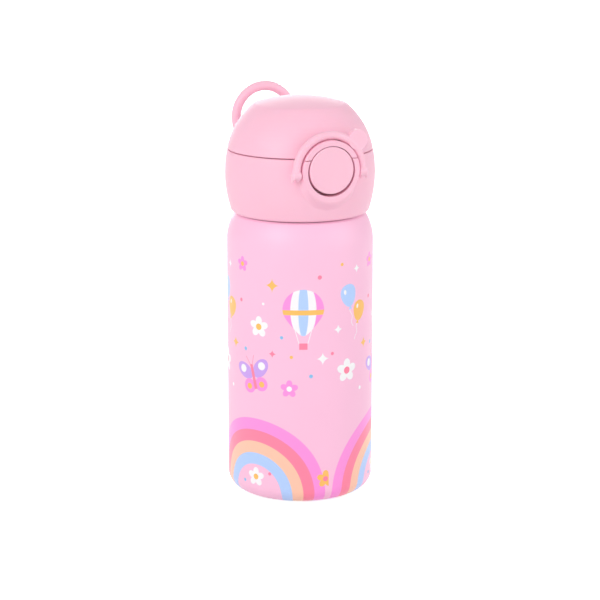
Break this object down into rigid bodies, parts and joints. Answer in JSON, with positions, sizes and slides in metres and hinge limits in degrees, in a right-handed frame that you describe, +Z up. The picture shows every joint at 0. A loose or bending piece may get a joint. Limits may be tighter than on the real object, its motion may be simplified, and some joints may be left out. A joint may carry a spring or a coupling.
{
  "type": "kids water bottle",
  "caption": "Insulated flask with a screw lid whose domed cap flips up when its round button is pressed, with a swinging lock ring and a carry loop.",
  "frame": {"origin": "middle of the base, on the surface that the bottle stands on", "axes": "+Z up along the flask's axis, -Y towards the button, +Y towards the hinge and carry loop"},
  "size_m": [0.0694, 0.0829, 0.1876],
  "materials": {
    "pink_coated_steel": "satin powder coat with a printed pattern",
    "bare_steel": "satin stainless steel",
    "getter_alloy": "dull grey sintered alloy",
    "solder": "dull solder bead",
    "silicone": "soft matte silicone",
    "pink_plastic": "satin moulded plastic",
    "button_plastic": "satin moulded plastic",
    "white_plastic": "smooth food-safe plastic",
    "spring_steel": "drawn steel wire"
  },
  "bodies": {
    "flask": {"outer_shell": "pink_coated_steel", "inner_flask": "bare_steel", "inner_base": "bare_steel", "outer_base": "bare_steel", "getter_pad": "getter_alloy", "vacuum_seal": "solder", "base_pad": "silicone"},
    "lid_seal": {"neck_gasket": "silicone"},
    "lid": {"lid_base": "pink_plastic", "lid_liner": "white_plastic", "spout": "white_plastic", "spout_gasket": "silicone", "vent_valve": "silicone", "hinge_pin": "spring_steel", "lid_spring": "spring_steel", "button_spring": "spring_steel"},
    "cap": {"cap_shell": "pink_plastic", "cap_liner": "white_plastic", "spout_seal": "silicone"},
    "button": {"push_button": "button_plastic"},
    "lock": {"lock_ring": "button_plastic"},
    "loop": {"carry_loop": "button_plastic"}
  },
  "joints": [
    {"name": "lid_lift", "type": "slide", "parent": "flask", "child": "lid_seal", "axis": [0, 0, 1], "range_m": [0, 0.0261]},
    {"name": "lid_turn", "type": "hinge", "parent": "lid_seal", "child": "lid", "pos_m": [0, 0, 0.14], "axis": [0, 0, 1], "range_deg": [0, 1170]},
    {"name": "cap_flip", "type": "hinge", "parent": "lid", "child": "cap", "pos_m": [0, 0.04, 0.1618], "axis": [-1, 0, 0], "range_deg": [0, 105]},
    {"name": "loop_swing", "type": "hinge", "parent": "cap", "child": "loop", "pos_m": [0, 0.04, 0.1618], "axis": [-1, 0, 0], "range_deg": [0, 55]},
    {"name": "button_press", "type": "slide", "parent": "lid", "child": "button", "axis": [0, 1, 0], "range_m": [0, 0.0022], "stiffness_N_per_m": 600, "springref_m": -0.003},
    {"name": "lock_swing", "type": "hinge", "parent": "lid", "child": "lock", "pos_m": [0, -0.034, 0.1552], "axis": [1, 0, 0], "range_deg": [0, 150]}
  ],
  "couplings": [
    {"joint": "lid_lift", "follows": "lid_turn", "m_per_rad": 0.0012732}
  ]
}
